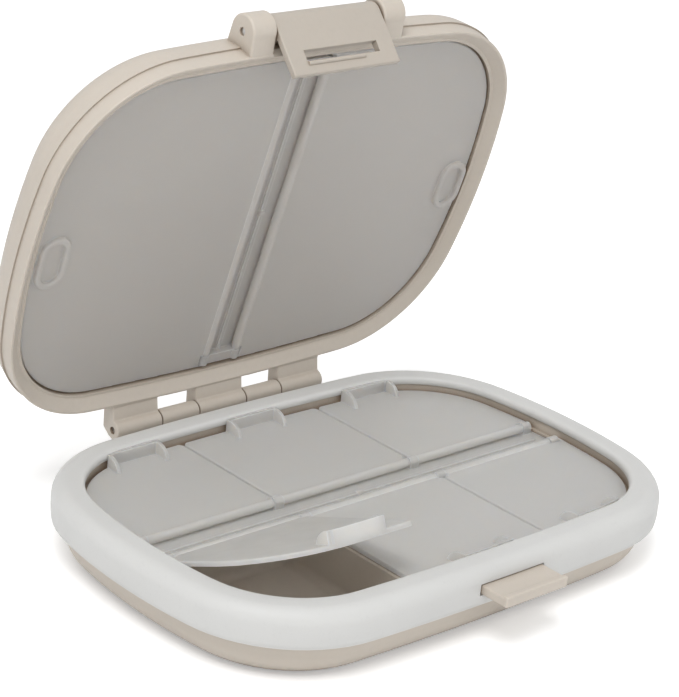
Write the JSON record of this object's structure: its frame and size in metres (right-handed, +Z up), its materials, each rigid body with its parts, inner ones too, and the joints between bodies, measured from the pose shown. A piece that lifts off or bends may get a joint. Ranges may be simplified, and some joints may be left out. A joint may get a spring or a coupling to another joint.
{
  "type": "travel pill organizer",
  "caption": "Rounded travel pill case: base with a grid of covered compartments and sealing band, hinged lid with covered halves and a swing latch.",
  "frame": {"origin": "centre of the flat underside of the base", "axes": "+Z up, X along the hinge, +Y from the latch side towards the hinge side"},
  "size_m": [0.126, 0.1092, 0.1101],
  "materials": {
    "shell": "fine satin moulded plastic, warm beige",
    "seal": "soft white silicone",
    "cover": "frosted translucent moulded plastic",
    "steel": "bright drawn wire"
  },
  "bodies": {
    "base": {"base_shell": "shell", "base_hinge_rail": "cover", "base_gasket": "seal", "hinge_pin": "steel"},
    "lid": {"lid_shell": "shell", "lid_hinge_rail": "cover"},
    "latch_pin": {"latch_pin": "steel"},
    "latch": {"latch_clip": "shell"},
    "lid_cover_left": {"lid_cover_left": "cover"},
    "lid_cover_right": {"lid_cover_right": "cover"},
    "cover_back_left": {"base_cover_back_left": "cover"},
    "cover_back_middle": {"base_cover_back_middle": "cover"},
    "cover_back_right": {"base_cover_back_right": "cover"},
    "cover_front_left": {"base_cover_front_left": "cover"},
    "cover_front_middle": {"base_cover_front_middle": "cover"},
    "cover_front_right": {"base_cover_front_right": "cover"}
  },
  "joints": [
    {"name": "lid_hinge", "type": "hinge", "parent": "base", "child": "lid", "pos_m": [0, 0.0481, 0.0143], "axis": [-1, 0, 0], "range_deg": [-73, 32]},
    {"name": "latch_pin_turn", "type": "hinge", "parent": "lid", "child": "latch_pin", "pos_m": [0, 0.02596, 0.10656], "axis": [-1, 0, 0], "range_deg": [-14.6, 33.2]},
    {"name": "latch_swing", "type": "hinge", "parent": "latch_pin", "child": "latch", "pos_m": [0, 0.02596, 0.10656], "axis": [-1, 0, 0], "range_deg": [0, 130]},
    {"name": "lid_cover_left_hinge", "type": "hinge", "parent": "lid", "child": "lid_cover_left", "pos_m": [-0.0043, 0.03825, 0.06159], "axis": [0, -0.2924, 0.9563], "range_deg": [0, 88]},
    {"name": "lid_cover_right_hinge", "type": "hinge", "parent": "lid", "child": "lid_cover_right", "pos_m": [0.0043, 0.03825, 0.06159], "axis": [0, 0.2924, -0.9563], "range_deg": [0, 88]},
    {"name": "cover_back_left_hinge", "type": "hinge", "parent": "base", "child": "cover_back_left", "pos_m": [0, 0.0054, 0.013], "axis": [1, 0, 0], "range_deg": [0, 90]},
    {"name": "cover_back_middle_hinge", "type": "hinge", "parent": "base", "child": "cover_back_middle", "pos_m": [0, 0.0054, 0.013], "axis": [1, 0, 0], "range_deg": [0, 90]},
    {"name": "cover_back_right_hinge", "type": "hinge", "parent": "base", "child": "cover_back_right", "pos_m": [0, 0.0054, 0.013], "axis": [1, 0, 0], "range_deg": [0, 90]},
    {"name": "cover_front_left_hinge", "type": "hinge", "parent": "base", "child": "cover_front_left", "pos_m": [0, -0.0032, 0.013], "axis": [-1, 0, 0], "range_deg": [-22.1, 68]},
    {"name": "cover_front_middle_hinge", "type": "hinge", "parent": "base", "child": "cover_front_middle", "pos_m": [0, -0.0032, 0.013], "axis": [-1, 0, 0], "range_deg": [0, 90]},
    {"name": "cover_front_right_hinge", "type": "hinge", "parent": "base", "child": "cover_front_right", "pos_m": [0, -0.0032, 0.013], "axis": [-1, 0, 0], "range_deg": [0, 90]}
  ],
  "couplings": [
    {"joint": "latch_pin_turn", "follows": "lid_hinge", "ratio": -0.45205},
    {"joint": "cover_front_left_hinge", "follows": "lid_hinge", "ratio": 0.30137}
  ]
}
